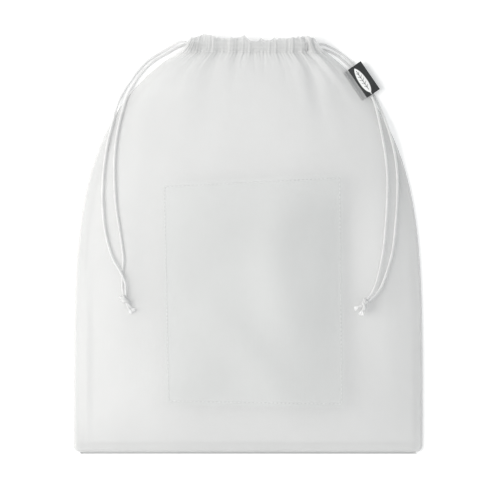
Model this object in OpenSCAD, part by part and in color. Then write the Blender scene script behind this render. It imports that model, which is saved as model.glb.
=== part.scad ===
// Mesh produce bag with two drawcords, lying on its back panel.
// +X runs to the label side, +Y to the mouth, +Z up through the front panel.
// The origin is under the middle of the bag, on the surface it lies on.

/* [Bag] */
// Width of the flat bag, side seam to side seam
bag_w = 300; // [290:2:310]
// Length from the bottom seam to the top of the ruffle
bag_l = 358; // [350:2:370]
// Height of the front panel's middle over its edge
loft = 11; // [10:0.5:13]
// Thickness of the mesh cloth
cloth = 0.8; // [0.6:0.1:0.9]
// Radius of the two bottom corners
corner_r = 6; // [3:1:12]
// Half width that the shoulders close to at the neck
neck_half = 55.5; // [54:0.5:57]

/* [Mouth] */
// Left end of the gathered channel
channel_x0 = -41; // [-44:1:-38]
// Right end of the gathered channel
channel_x1 = 47; // [44:1:50]
// Size of the channel along the bag
channel_l = 10; // [9.5:0.5:10.5]
// Length of each cord exit at the ends of the channel
exit_l = 10; // [9:0.5:12]
// Free height of the mouth between the two channels
mouth_gap = 5.4; // [5:0.2:7]
// Distance from one pleat of the ruffle to the next
pleat_pitch = 8; // [5:0.5:12]

/* [Cords] */
// Diameter of the drawcords
cord_d = 2.2; // [1.8:0.1:2.4]
// Radius of the overhand knots
knot_r = 3.4; // [3:0.1:4]

/* [Patch] */
// Width of the plain print patch
patch_w = 152; // [120:2:160]
// Length of the plain print patch
patch_l = 192; // [160:2:200]

/* [Label] */
// Length of the folded label along the seam
label_l = 29; // [24:0.5:32]
// Width of the label outside the seam
label_w = 13.6; // [12:0.2:16]
// Angle of the label's outward direction from the +X direction
label_angle = 34.5; // [30:0.5:38]

/* [Hidden] */
$fn = 32;

clear = 0.1;                       // gap that keeps neighbours apart
seam_t = 1;                        // thickness of the turned-in seam allowances
seam_w = 8;                        // their width
overlock_w = 1.2;                  // width of the thread band on their edge
flange_z = cloth + seam_t + 2 * clear + cloth;   // top of the front panel at the seams
top_u = bag_l - 16;                // where the panels end and the channels start
close_u = bag_l - 11;              // where the shoulders' curve would meet the neck
ruffle_u0 = top_u + 0.5 + channel_l;
channel_t = 4.2;                   // height of one channel
wall = 0.8;                        // its wall
back_z0 = 0.2;                     // underside of the back channel
front_z0 = back_z0 + channel_t + mouth_gap;
back_cord_z = back_z0 + channel_t / 2;
front_cord_z = front_z0 + channel_t / 2;
left_cord_u = top_u + 0.5 + channel_l / 2 + 2.8; // the two cords lie side by side
right_cord_u = left_cord_u - 3.2;
cord_r = cord_d / 2;
stitch = [2.6, 0.5, 0.25];         // one machine stitch
patch_x = 5;                       // middle of the patch
patch_u = 139;
label_mid = [93.6, 136.8];         // middle of the label's edge at the seam
hinge_z = 5.4;                     // height of the line that the label folds on
tape_t = 0.4;                      // one layer of the label tape
label_in = 5;                      // part of the label inside the seam

// The outline: half width and middle of the bag at a distance u from the bottom seam
function clamp01(t) = min(max(t, 0), 1);
function shoulder(u) = pow(1 - pow(clamp01(u / close_u), 4.62), 0.83);
function corner_in(u) = u < corner_r ? corner_r - sqrt(corner_r * corner_r - pow(corner_r - u, 2)) : 0;
function half_w(u) = neck_half + (bag_w / 2 - neck_half) * shoulder(u) - corner_in(u);
function mid_x(u) = 3.6 * pow(clamp01(u / close_u), 12);
function y_of(u) = u - bag_l / 2;

// The front panel's outer surface: a low pillow, closed at the bottom and side seams
function rise(u) = 1 - pow(1 - clamp01(u / 60), 2.2);
function dome(x, u) = flange_z + loft * rise(u) * (1 - pow(clamp01(abs(x - mid_x(u)) / half_w(u)), 4));

panel_rows = concat(
  [0, 1, 2.5, 4.5, 8, 13, 20, 30, 42, 56],
  [for (u = [80 : 24 : 248]) u],
  [for (k = [0 : 8]) 260 + (top_u - 260) * (1 - pow(1 - k / 8, 1.4))]
);

// Polygon between two insets from the outline, from u0 to u1, on the side s (-1 left, +1 right)
module edge_band(s, u0, u1, inset0, inset1, z0, z1) {
  us = [for (k = [0 : 24]) u0 + (u1 - u0) * k / 24];
  outer = [for (u = us) [mid_x(u) + s * (half_w(u) - inset0), y_of(u)]];
  inner = [for (k = [24 : -1 : 0]) [mid_x(us[k]) + s * (half_w(us[k]) - inset1), y_of(us[k])]];
  translate([0, 0, z0]) linear_extrude(z1 - z0) polygon(concat(outer, inner));
}

// Closed sheet over a grid of points: top points first, the same grid below them
module sheet(top, under) {
  m = len(top);
  n = len(top[0]);
  points = [for (g = [top, under]) for (row = g) for (p = row) p];
  base = m * n;
  upper = [for (i = [0 : m - 2]) for (j = [0 : n - 2])
    each [[i * n + j, (i + 1) * n + j, (i + 1) * n + j + 1], [i * n + j, (i + 1) * n + j + 1, i * n + j + 1]]];
  lower = [for (f = upper) [base + f[2], base + f[1], base + f[0]]];
  rim = concat(
    [for (j = [0 : n - 2]) j],
    [for (i = [0 : m - 2]) i * n + n - 1],
    [for (j = [n - 1 : -1 : 1]) (m - 1) * n + j],
    [for (i = [m - 1 : -1 : 1]) i * n]
  );
  k = len(rim);
  sides = [for (a = [0 : k - 1]) let (p = rim[a], q = rim[(a + 1) % k])
    each [[p, q, base + q], [p, base + q, base + p]]];
  polyhedron(points, concat(upper, lower, sides));
}

module back_panel() {
  right = [for (u = panel_rows) [mid_x(u) + half_w(u), y_of(u)]];
  left = [for (k = [len(panel_rows) - 1 : -1 : 0])
    [mid_x(panel_rows[k]) - half_w(panel_rows[k]), y_of(panel_rows[k])]];
  color("whitesmoke") linear_extrude(cloth) polygon(concat(right, left));
}

module front_panel() {
  cols = [for (j = [-12 : 12]) sin(j * 7.5)];
  function spot(u, c, drop) = let (x = mid_x(u) + c * half_w(u)) [x, y_of(u), dome(x, u) - drop];
  color("white") sheet(
    [for (u = panel_rows) [for (c = cols) spot(u, c, 0)]],
    [for (u = panel_rows) [for (c = cols) spot(u, c, cloth)]]
  );
}

module label_frame() {
  translate([label_mid[0], label_mid[1], hinge_z]) rotate([0, 0, label_angle]) children();
}

module side_seam(s) {
  edge_band(s, 11, top_u - 1, 0, seam_w, cloth + clear, cloth + clear + seam_t);
}

module side_overlock(s) {
  edge_band(s, 11, top_u - 1, seam_w + clear, seam_w + clear + overlock_w, cloth + clear, cloth + 0.7);
}

// Space that the label's sewn end takes out of the right seam
module label_pocket() {
  label_frame() translate([-label_in - 0.4, -label_l / 2 - 0.4, -hinge_z]) cube([12, label_l + 0.8, 6]);
}

module left_side_seam() {
  color("gainsboro") side_seam(-1);
}

module right_side_seam() {
  color("gainsboro") difference() {
    side_seam(1);
    label_pocket();
  }
}

module bottom_seam() {
  half = bag_w / 2 - seam_w - 2.5;
  color("gainsboro") translate([-half, y_of(1), cloth + clear]) cube([2 * half, seam_w, seam_t]);
}

module left_seam_overlock() {
  color("white") side_overlock(-1);
}

module right_seam_overlock() {
  color("white") difference() {
    side_overlock(1);
    label_pocket();
  }
}

module bottom_seam_overlock() {
  half = bag_w / 2 - seam_w - 4;
  color("white") translate([-half, y_of(1 + seam_w + clear), cloth + clear]) cube([2 * half, overlock_w, 0.6]);
}

// One gathered channel with its pleated ruffle; z0 is the channel's underside
module casing(z0) {
  ruffle_x0 = channel_x0 - exit_l + 2;
  ruffle_x1 = channel_x1 + exit_l - 2;
  xs = [for (k = [0 : 48]) ruffle_x0 + (ruffle_x1 - ruffle_x0) * k / 48];
  function wave(x) = 1.1 * sin(360 * x / pleat_pitch) + 0.3 * sin(137 * x / pleat_pitch);
  mid = z0 + channel_t / 2;
  profile = concat(
    [for (x = xs) [x, mid + wave(x) - cloth / 2]],
    [for (k = [48 : -1 : 0]) [xs[k], mid + wave(xs[k]) + cloth / 2]]
  );
  translate([channel_x0, y_of(top_u + 0.5), z0]) difference() {
    cube([channel_x1 - channel_x0, channel_l, channel_t]);
    translate([-1, wall, wall])
      cube([channel_x1 - channel_x0 + 2, channel_l - 2 * wall, channel_t - 2 * wall]);
  }
  translate([0, y_of(bag_l), 0]) rotate([90, 0, 0]) linear_extrude(bag_l - ruffle_u0) polygon(profile);
}

module back_casing() {
  color("whitesmoke") casing(back_z0);
}

module front_casing() {
  color("white") casing(front_z0);
}

// A row of stitches along X at the panel edge of a channel
module casing_stitches(z) {
  count = 16;
  step = (channel_x1 - channel_x0) / count;
  for (k = [0 : count - 1]) {
    translate([channel_x0 + step * (k + 0.5) - stitch[0] / 2, y_of(top_u + 2), z]) cube(stitch);
  }
}

module back_casing_stitching() {
  color("white") casing_stitches(back_z0 + channel_t + clear);
}

module front_casing_stitching() {
  color("white") casing_stitches(front_z0 + channel_t + clear);
}

module print_patch() {
  gap = cloth + 0.3;
  xs = [for (k = [0 : 8]) patch_x + patch_w * (k / 8 - 0.5)];
  us = [for (k = [0 : 10]) patch_u + patch_l * (k / 10 - 0.5)];
  color("lightgray") sheet(
    [for (u = us) [for (x = xs) [x, y_of(u), dome(x, u) - gap]]],
    [for (u = us) [for (x = xs) [x, y_of(u), dome(x, u) - gap - 0.5]]]
  );
}

// Stitches round the patch, on the outside of the front panel
module patch_stitching() {
  inset = 3;
  nx = 20;
  nu = 25;
  w = patch_w - 2 * inset;
  l = patch_l - 2 * inset;
  color("white") {
    for (k = [0 : nx - 1]) for (s = [-1, 1]) {
      x = patch_x + w * ((k + 0.5) / nx - 0.5);
      u = patch_u + s * l / 2;
      translate([x, y_of(u), dome(x, u) + 0.35]) cube(stitch, center = true);
    }
    for (k = [0 : nu - 1]) for (s = [-1, 1]) {
      x = patch_x + s * w / 2;
      u = patch_u + l * ((k + 0.5) / nu - 0.5);
      translate([x, y_of(u), dome(x, u) + 0.35]) rotate([0, 0, 90]) cube(stitch, center = true);
    }
  }
}

// The hemmed end of the channels: a ring that the tails come out of
module cord_exit(x0) {
  z_hi = front_z0 + channel_t - 0.2;
  z_lo = back_z0 + 0.2;
  translate([x0, y_of(top_u + 0.5), z_lo]) difference() {
    cube([exit_l - 0.2, channel_l, z_hi - z_lo]);
    translate([-1, wall, wall]) cube([exit_l + 2, channel_l - 2 * wall, z_hi - z_lo - 2 * wall]);
  }
}

module left_cord_exit() {
  color("gainsboro") cord_exit(channel_x0 - exit_l);
}

module right_cord_exit() {
  color("gainsboro") cord_exit(channel_x1 + 0.2);
}

// The cord inside the channels: two straight runs joined by a half turn at the far end
module channel_loop(s, u) {
  start = s < 0 ? channel_x0 - exit_l : channel_x1 + exit_l;
  turn = s < 0 ? channel_x1 + 0.4 : channel_x0 - 0.4;
  bend_r = (front_cord_z - back_cord_z) / 2;
  for (z = [back_cord_z, front_cord_z]) {
    translate([min(start, turn), y_of(u), z]) rotate([0, 90, 0]) cylinder(abs(turn - start), r = cord_r);
  }
  translate([turn, y_of(u), back_cord_z + bend_r]) rotate([90, s < 0 ? 0 : 180, 0])
    rotate([0, 0, -90]) rotate_extrude(angle = 180) translate([bend_r, 0]) circle(cord_r);
}

module left_cord_channel_loop() {
  color("white") channel_loop(-1, left_cord_u);
}

module right_cord_channel_loop() {
  color("white") channel_loop(1, right_cord_u);
}

// The tails: points of each route from the exit to the knot
left_y = y_of(left_cord_u);
right_y = y_of(right_cord_u);
left_exit_x = channel_x0 - exit_l;
right_exit_x = channel_x1 + exit_l;

left_outer = [
  [left_exit_x, left_y, front_cord_z], [-58, 172.8, 9], [-65, 169.8, 4], [-72.5, 165.4, 1.4], [-80.5, 160.8, 1.4],
  [-88.5, 154.8, 1.4], [-95.5, 147, 1.4], [-101.6, 138.6, 1.4], [-107.6, 129, 1.4], [-112.4, 117.5, 3.2],
  [-116, 104, 5.4], [-120, 87, 6.8], [-123, 68, 7.8], [-124.4, 48, 8.6], [-124.2, 30, 9.4],
  [-122, 10, 10.4], [-116.5, -10.5, 12], [-108.6, -24.6, 15], [-104.9, -33, 14.8], [-104.3, -40, 14.8],
  [-104.2, -46, 14.8]
];
left_inner = [
  [left_exit_x, left_y, back_cord_z], [-57.5, 169.8, 1.6], [-64.5, 166.4, 1.4], [-71.5, 162.3, 1.4],
  [-79.5, 157.6, 1.4], [-86.8, 151.6, 1.4], [-93, 144.4, 1.4], [-98.6, 136, 1.4], [-103.2, 127.5, 3.8],
  [-106.4, 118, 5.8], [-110, 104, 7.4], [-113, 87, 8.8], [-114.4, 68, 9.8], [-114, 48, 10.8],
  [-112.6, 30, 11.4], [-109.6, 11, 12], [-106.6, -11, 12.6], [-106.9, -22, 12.6], [-107.3, -33, 12.8],
  [-106.9, -40, 13.3], [-106, -45.6, 14.4]
];
right_outer = [
  [right_exit_x, right_y, front_cord_z], [63, 170.6, 9], [70, 168.6, 4], [77, 165, 1.4], [84.5, 159.4, 1.4],
  [91.5, 152.4, 1.4], [97.8, 144.4, 1.4], [103.4, 135.6, 1.4], [108.6, 126.5, 1.4], [113.4, 116, 3],
  [118, 104.5, 4.8], [122.4, 91, 5.6], [126, 75, 6.2], [127.8, 57, 7.2], [127.6, 38, 8.2],
  [126.2, 16, 9.2], [123.2, -8, 10.2], [116.8, -29.5, 11.4], [110.6, -42, 12.8], [102.4, -50, 14.8]
];
right_inner = [
  [right_exit_x, right_y, back_cord_z], [62.5, 167, 1.6], [69.5, 165, 1.4], [75.8, 161.8, 1.4], [82.3, 156.6, 1.4],
  [89, 150, 1.4], [95, 142.2, 1.4], [100.8, 134, 1.4], [106, 126.6, 3.4], [109.4, 117.5, 5.4],
  [112.4, 104.5, 6.8], [115.2, 90, 8], [117.8, 74, 8.8], [119.2, 57, 9.4], [119, 38, 10.2],
  [117.8, 17, 11], [115.4, -7, 11.6], [110.8, -29.5, 12.4], [106, -41.6, 13.4], [100.6, -49.2, 14.8]
];

function unit(v) = v / norm(v);
function heading(p, i) = unit(p[min(i + 1, len(p) - 1)] - p[max(i - 1, 0)]);
// Round tube swept along the points of a route that never runs straight up
module tube(p, r, sides = 8) {
  rings = [for (i = [0 : len(p) - 1])
    let (t = heading(p, i), a = unit(cross(t, [0, 0, 1])), b = cross(a, t))
    for (k = [0 : sides - 1]) p[i] + r * (cos(360 * k / sides) * a + sin(360 * k / sides) * b)];
  last = (len(p) - 1) * sides;
  skin = [for (i = [0 : len(p) - 2]) for (k = [0 : sides - 1])
    let (a = i * sides + k, b = i * sides + (k + 1) % sides)
    each [[a, b, b + sides], [a, b + sides, a + sides]]];
  caps = [[for (k = [sides - 1 : -1 : 0]) k], [for (k = [0 : sides - 1]) last + k]];
  polyhedron(rings, concat(skin, caps));
}

module left_cord_outer_strand() {
  color("white") tube(left_outer, cord_r);
}

module left_cord_inner_strand() {
  color("white") tube(left_inner, cord_r);
}

module right_cord_outer_strand() {
  color("white") tube(right_outer, cord_r);
}

module right_cord_inner_strand() {
  color("white") tube(right_inner, cord_r);
}

// Overhand knot that ties the two tails of a cord; turn is its heading in the XY plane
module knot(at, turn) {
  translate(at) rotate([0, 0, turn]) rotate([0, 90, 0]) {
    sphere(knot_r - 0.5);
    rotate_extrude() translate([knot_r - 1.2, 0]) circle(1.2);
  }
}

// Two short frayed ends, one for each angle from the knot
module cord_ends(at, turns) {
  for (turn = turns) {
    translate(at) rotate([0, 0, turn]) rotate([0, 94, 0]) translate([0, 0, knot_r - 0.6]) {
      cylinder(6, r = cord_r);
      translate([0, 0, 6]) cylinder(4, r1 = cord_r, r2 = 1.7);
    }
  }
}

left_knot_at = [-105, -48, 14.9];
right_knot_at = [99.5, -52, 15.4];

module left_cord_knot() {
  color("white") knot(left_knot_at, -65);
}

module right_cord_knot() {
  color("white") knot(right_knot_at, -125);
}

module left_cord_ends() {
  color("snow") cord_ends(left_knot_at, [-40, -92]);
}

module right_cord_ends() {
  color("snow") cord_ends(right_knot_at, [-161, -109]);
}

// The label is a tape folded double; its two ends are caught in the right side seam
module label_tab() {
  z_mid = cloth + clear + seam_t / 2 - hinge_z;
  color("dimgray") label_frame() translate([-label_in, -label_l / 2, z_mid - tape_t])
    cube([label_in, label_l, 2 * tape_t]);
}

module label_flap() {
  gap = 0.1;
  r = tape_t + gap / 2;
  flat = label_w - r - 0.6;
  color("black") label_frame() translate([0.6, label_l / 2, 0]) rotate([90, 0, 0]) linear_extrude(label_l)
    difference() {
      union() {
        translate([0, -r]) square([flat, 2 * r]);
        translate([flat, 0]) circle(r);
      }
      translate([-1, -gap / 2]) square([flat + 1, gap]);
    }
}

// Plain leaf woven into the face of the label
module label_motif() {
  leaf_r = 15.2;
  spread = 11;
  color("white") label_frame() translate([label_w / 2, 0, tape_t + 0.06]) linear_extrude(0.12) {
    intersection() {
      translate([-spread, 1]) circle(leaf_r, $fn = 64);
      translate([spread, 1]) circle(leaf_r, $fn = 64);
    }
    translate([-0.3, -12.5]) square([0.6, 5]);
  }
}

// Stitches through the front panel and the sewn end of the label
module label_stitching() {
  out = [cos(label_angle), sin(label_angle)];
  along = [-out[1], out[0]];
  color("white") for (k = [-4 : 4]) {
    at = label_mid - 3.4 * out + 3.1 * k * along;
    translate([at[0], at[1], dome(at[0], at[1] + bag_l / 2) + 0.6]) rotate([0, 0, label_angle + 90])
      cube(stitch, center = true);
  }
}

back_panel();
front_panel();
left_side_seam();
right_side_seam();
bottom_seam();
left_seam_overlock();
right_seam_overlock();
bottom_seam_overlock();
back_casing();
front_casing();
back_casing_stitching();
front_casing_stitching();
print_patch();
patch_stitching();
left_cord_exit();
right_cord_exit();
left_cord_channel_loop();
left_cord_outer_strand();
left_cord_inner_strand();
left_cord_knot();
left_cord_ends();
right_cord_channel_loop();
right_cord_outer_strand();
right_cord_inner_strand();
right_cord_knot();
right_cord_ends();
label_tab();
label_flap();
label_motif();
label_stitching();
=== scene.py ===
import math

import bpy
import numpy as np
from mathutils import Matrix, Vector


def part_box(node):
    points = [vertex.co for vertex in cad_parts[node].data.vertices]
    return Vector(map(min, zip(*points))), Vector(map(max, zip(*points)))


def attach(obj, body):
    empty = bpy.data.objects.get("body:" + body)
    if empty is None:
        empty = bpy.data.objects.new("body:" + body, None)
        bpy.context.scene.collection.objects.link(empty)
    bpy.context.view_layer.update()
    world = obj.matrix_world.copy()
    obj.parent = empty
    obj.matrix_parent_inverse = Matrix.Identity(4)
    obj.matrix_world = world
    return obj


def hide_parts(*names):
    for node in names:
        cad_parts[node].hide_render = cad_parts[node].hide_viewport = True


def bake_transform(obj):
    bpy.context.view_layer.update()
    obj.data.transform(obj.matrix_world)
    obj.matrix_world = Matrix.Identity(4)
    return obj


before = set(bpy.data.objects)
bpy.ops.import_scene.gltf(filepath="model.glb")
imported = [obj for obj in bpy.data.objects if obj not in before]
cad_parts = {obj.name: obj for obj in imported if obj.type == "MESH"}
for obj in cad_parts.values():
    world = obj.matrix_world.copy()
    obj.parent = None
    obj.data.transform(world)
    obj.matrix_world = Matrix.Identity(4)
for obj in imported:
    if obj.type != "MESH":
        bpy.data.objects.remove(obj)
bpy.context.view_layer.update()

# Every length in this file is in millimetres, in the frame of the CAD model: +X to the label,
# +Y to the mouth, +Z up. A mesh is turned into metres when it is made.
MM = 0.001


def box_mm(node):
    """Lowest and highest corners of a CAD node at rest, in millimetres."""
    lo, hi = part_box(node)
    return np.array(lo) / MM, np.array(hi) / MM


# ---- sizes from the frame
SIGN = {"left": -1, "right": 1}
BACK_LO, BACK_HI = box_mm("back_panel")
FRONT_TOP = box_mm("front_panel")[1][2]
CASING_LO, CASING_HI = box_mm("front_casing")
PATCH_LO, PATCH_HI = box_mm("print_patch")
BOTTOM_LO, BOTTOM_HI = box_mm("bottom_seam")
LOOPS = {side: box_mm(f"{side}_cord_channel_loop") for side in SIGN}
EXITS = {side: box_mm(f"{side}_cord_exit") for side in SIGN}

HALF = (BACK_HI[0] - BACK_LO[0]) / 2  # half width of the flat bag
Y0 = BACK_LO[1]  # bottom seam
LENGTH = CASING_HI[1] - Y0  # bottom seam to the top of the ruffle
FLANGE = 2.8  # top of the front panel at the seams
LOFT = FRONT_TOP - FLANGE  # fullness of the front panel above the seams
NECK_HALF = 55.5  # half width where the shoulders end
CLOSE_U = LENGTH - 11  # where the shoulders would meet the neck
TOP_U = LENGTH - 16  # where the panels end and the channels start
CORNER_R = 6  # rounding of the two bottom corners
LIP = 1.3  # turned edge below the bottom seam
CORD_D = 2.2
CORD_U = 348.7  # middle of the two cords in the channels
FRONT_CORD_Z = LOOPS["left"][1][2] - CORD_D / 2
BACK_CORD_Z = LOOPS["left"][0][2] + CORD_D / 2
CASING_Z = (CASING_LO[2] + CASING_HI[2]) / 2
UP = np.array([0.0, 0.0, 1.0])


# ---- camera
# These are in metres: the camera looks straight down
CAMERA_PLACE = (0.0017, -0.0054, 2.0)
BAG_LEVEL = 0.005  # height at which the picture's width is measured
VIEW_WIDTH = 0.4285
SENSOR_MM = 36


def build_camera():
    cam = bpy.data.cameras.new("camera")
    obj = bpy.data.objects.new("camera", cam)
    bpy.context.scene.collection.objects.link(obj)
    cam.sensor_width = SENSOR_MM
    cam.lens = SENSOR_MM * (CAMERA_PLACE[2] - BAG_LEVEL) / VIEW_WIDTH
    cam.clip_end = 20
    obj.location = CAMERA_PLACE
    bpy.context.scene.camera = obj


build_camera()


# ---- small tools
def clamp(t):
    return np.clip(t, 0.0, 1.0)


def smooth(t):
    t = clamp(t)
    return t * t * (3 - 2 * t)


def ramp(u, span):
    """Eased from nought at the start of a span to one at its end."""
    return smooth((u - span[0]) / (span[1] - span[0]))


def stack(*parts):
    """Coordinates put together as points, each spread to the shape of them all."""
    return np.stack(np.broadcast_arrays(*parts), axis=-1)


def unit(v):
    v = np.asarray(v, float)
    return v / np.maximum(np.linalg.norm(v, axis=-1, keepdims=True), 1e-12)


def resample(points, step):
    """Points about a step apart on a smooth curve through the given points."""
    p = np.asarray(points, float)
    ext = np.vstack([2 * p[0] - p[1], p, 2 * p[-1] - p[-2]])
    out = []
    t = np.linspace(0, 1, 40, endpoint=False)[:, None]
    for i in range(len(p) - 1):
        a, b, c, d = ext[i:i + 4]
        out.append(0.5 * (2 * b + (c - a) * t + (2 * a - 5 * b + 4 * c - d) * t ** 2
                          + (3 * b - a - 3 * c + d) * t ** 3))
    dense = np.vstack(out + [p[-1:]])
    run = np.r_[0, np.cumsum(np.linalg.norm(np.diff(dense, axis=0), axis=1))]
    count = max(3, int(round(run[-1] / step)) + 1)
    at = np.linspace(0, run[-1], count)
    return stack(*(np.interp(at, run, dense[:, k]) for k in range(3)))


def make_mesh(name, points, faces, material, smooth_shade=True):
    mesh = bpy.data.meshes.new(name)
    mesh.from_pydata((np.asarray(points) * MM).tolist(), [], faces)
    mesh.update()
    if smooth_shade:
        mesh.polygons.foreach_set("use_smooth", [True] * len(mesh.polygons))
    obj = bpy.data.objects.new(name, mesh)
    bpy.context.scene.collection.objects.link(obj)
    mesh.materials.append(material)
    return obj


def grid_faces(rows, cols, wrap_cols=False, flip=False):
    last = cols if wrap_cols else cols - 1
    i, j = np.meshgrid(np.arange(rows - 1), np.arange(last), indexing="ij")
    k = (j + 1) % cols
    quad = stack(i * cols + j, i * cols + k, (i + 1) * cols + k, (i + 1) * cols + j).reshape(-1, 4)
    return (quad[:, ::-1] if flip else quad).tolist()


def grid_normals(grid, flip=False):
    dv = np.gradient(grid, axis=0)
    dc = np.gradient(grid, axis=1)
    n = unit(np.cross(dc, dv))
    return -n if flip else n


def store_uv(obj, uv):
    """Place of each point on the flat cloth, in millimetres, for the weave."""
    flat = np.zeros((len(uv), 3), np.float32)
    flat[:, :2] = uv
    attribute = obj.data.attributes.new("cloth_uv", "FLOAT_VECTOR", "POINT")
    attribute.data.foreach_set("vector", flat.ravel())


def join_parts(parts):
    """One list of points and faces from several."""
    points, faces, base = [], [], 0
    for p, f in parts:
        points.append(np.asarray(p, float))
        faces += [[base + v for v in face] for face in f]
        base += len(p)
    return np.vstack(points), faces


def frames_along(path):
    """Unit tangents and two cross directions that don't twist along a path."""
    tangent = unit(np.gradient(path, axis=0))
    sides = [unit(np.cross(tangent[0], UP if abs(tangent[0][2]) < 0.9 else (1.0, 0.0, 0.0)))]
    for t in tangent[1:]:
        s = sides[-1] - t * np.dot(sides[-1], t)
        sides.append(s / np.linalg.norm(s))
    sides = np.array(sides)
    return tangent, sides, np.cross(sides, tangent)


def tube(path, radius, sides=20, braid=0.0, carriers=4, lay=3.2):
    """Round tube along a path, with closed ends; braid is the depth of its plaited relief."""
    _, a, b = frames_along(path)
    theta = np.linspace(0, 2 * math.pi, sides, endpoint=False)
    run = np.r_[0, np.cumsum(np.linalg.norm(np.diff(path, axis=0), axis=1))][:, None]
    r = np.broadcast_to(np.asarray(radius, float).reshape(-1, 1), (len(path), sides)).copy()
    if braid:
        one = np.cos(carriers * theta[None, :] + 2 * math.pi * run / lay)
        two = np.cos(carriers * theta[None, :] - 2 * math.pi * run / lay)
        r += braid * (np.maximum(one, two) - 0.6)
    ring = (path[:, None, :] + r[..., None] * (np.cos(theta)[None, :, None] * a[:, None, :]
                                               + np.sin(theta)[None, :, None] * b[:, None, :]))
    points = np.vstack([ring.reshape(-1, 3), path[:1], path[-1:]])
    faces = grid_faces(len(path), sides, wrap_cols=True)
    first, last = len(points) - 2, len(points) - 1
    top = (len(path) - 1) * sides
    for k in range(sides):
        n = (k + 1) % sides
        faces.append([first, n, k])
        faces.append([last, top + k, top + n])
    return points, faces


# ---- materials
class Graph:
    """A material's node tree, with short ways to add nodes to it."""

    def __init__(self, name):
        self.material = bpy.data.materials.new(name)
        self.material.use_nodes = True
        self.tree = self.material.node_tree
        self.tree.nodes.clear()

    def node(self, kind, settings=None, **inputs):
        """A new node; inputs are given by name, or as i0, i1 and so on by number."""
        n = self.tree.nodes.new("ShaderNode" + kind)
        for key, value in (settings or {}).items():
            setattr(n, key, value)
        for key, value in inputs.items():
            by_number = key[0] == "i" and key[1:].isdigit()
            self.feed(n.inputs[int(key[1:]) if by_number else key.replace("_", " ")], value)
        return n

    def feed(self, socket, value):
        """Links a socket to another node's output, or sets it to a plain value."""
        if isinstance(value, bpy.types.NodeSocket):
            self.tree.links.new(value, socket)
        else:
            socket.default_value = value

    def math(self, operation, a, b=0.0):
        return self.node("Math", {"operation": operation}, i0=a, i1=b).outputs[0]

    def cloth_place(self):
        """A point's place on the flat cloth, as a vector and as its three parts."""
        uv = self.node("Attribute", {"attribute_name": "cloth_uv"}).outputs["Vector"]
        return uv, self.node("SeparateXYZ", None, Vector=uv).outputs

    def thread_wave(self, along, pitch):
        return self.math("COSINE", self.math("MULTIPLY", along, 2 * math.pi / pitch))

    def crossing(self, one, two):
        """Two thread waves together, from nought to one."""
        both = self.math("MULTIPLY_ADD", self.math("ADD", one, two), 0.25)
        self.tree.nodes[-1].inputs[2].default_value = 0.5
        return both

    def blended(self, one, share, two, other):
        """One value times its share and another times the other share, together."""
        one, two = self.math("MULTIPLY", one, share), self.math("MULTIPLY", two, other)
        return self.math("ADD", one, two)

    def remap(self, value, lo, hi, to_lo=0.0, to_hi=1.0):
        return self.node("MapRange", {"interpolation_type": "SMOOTHSTEP"}, i0=value, i1=lo, i2=hi,
                         i3=to_lo, i4=to_hi).outputs[0]

    def mix_colour(self, factor, a, b):
        n = self.tree.nodes.new("ShaderNodeMix")
        n.data_type = "RGBA"
        for socket, value in ((n.inputs[0], factor), (n.inputs[6], a), (n.inputs[7], b)):
            self.feed(socket, value)
        return n.outputs[2]

    def mix_shaders(self, factor, one, two):
        return self.node("MixShader", None, i0=factor, i1=one.outputs[0], i2=two.outputs[0])

    def noise(self, vector, scale, detail=2.0):
        return self.node("TexNoise", None, Vector=vector, Scale=scale, Detail=detail).outputs[0]

    def bump(self, height, strength, distance):
        n = self.node("Bump", None, Strength=strength, Distance=distance, Height=height)
        return n.outputs[0]

    def finish(self, shader):
        out = self.tree.nodes.new("ShaderNodeOutputMaterial")
        self.tree.links.new(shader, out.inputs[0])
        return self.material


def grey(value, tint=(1.0, 1.0, 1.0)):
    return (value * tint[0], value * tint[1], value * tint[2], 1.0)


def woven_cloth(name, value, pitch, hole_lo, hole_hi, through, tint=(1.0, 1.0, 1.0)):
    """Cloth of crossed threads: its gaps let light through, and the threads pass some on.

    value is its brightness, pitch its thread spacing in mm, hole_lo and hole_hi how clear it is
    at a thread and in a gap, and through the share of light the threads pass on.
    """
    relief = 0.00006  # metres
    g = Graph(name)
    uv, xyz = g.cloth_place()
    gap = g.crossing(g.thread_wave(xyz[0], pitch), g.thread_wave(xyz[1], pitch))
    hole = g.remap(gap, 0.35, 0.9, hole_lo, hole_hi)
    place = g.node("TexCoord").outputs["Object"]
    cloudy = g.noise(place, 14.0, 3.0)
    drawn_out = g.node("Mapping", None, Vector=uv, Scale=(0.9, 0.05, 1.0)).outputs[0]
    streaks = g.noise(drawn_out, 1.0, 3.0)
    tone = g.remap(g.blended(cloudy, 0.7, streaks, 0.3), 0.3, 0.7)
    colour = g.mix_colour(tone, grey(value * 0.98, tint), grey(min(value * 1.015, 1), tint))
    normal = g.bump(g.math("SUBTRACT", 1.0, gap), 0.35, relief)
    front = g.node("BsdfPrincipled", None, Base_Color=colour, Roughness=0.62, Sheen_Weight=0.25,
                   Sheen_Roughness=0.4, Normal=normal)
    front.inputs["Specular IOR Level"].default_value = 0.22
    back = g.node("BsdfTranslucent", None, Color=colour, Normal=normal)
    cloth = g.mix_shaders(through, front, back)
    return g.finish(g.mix_shaders(hole, cloth, g.node("BsdfTransparent")).outputs[0])


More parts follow.
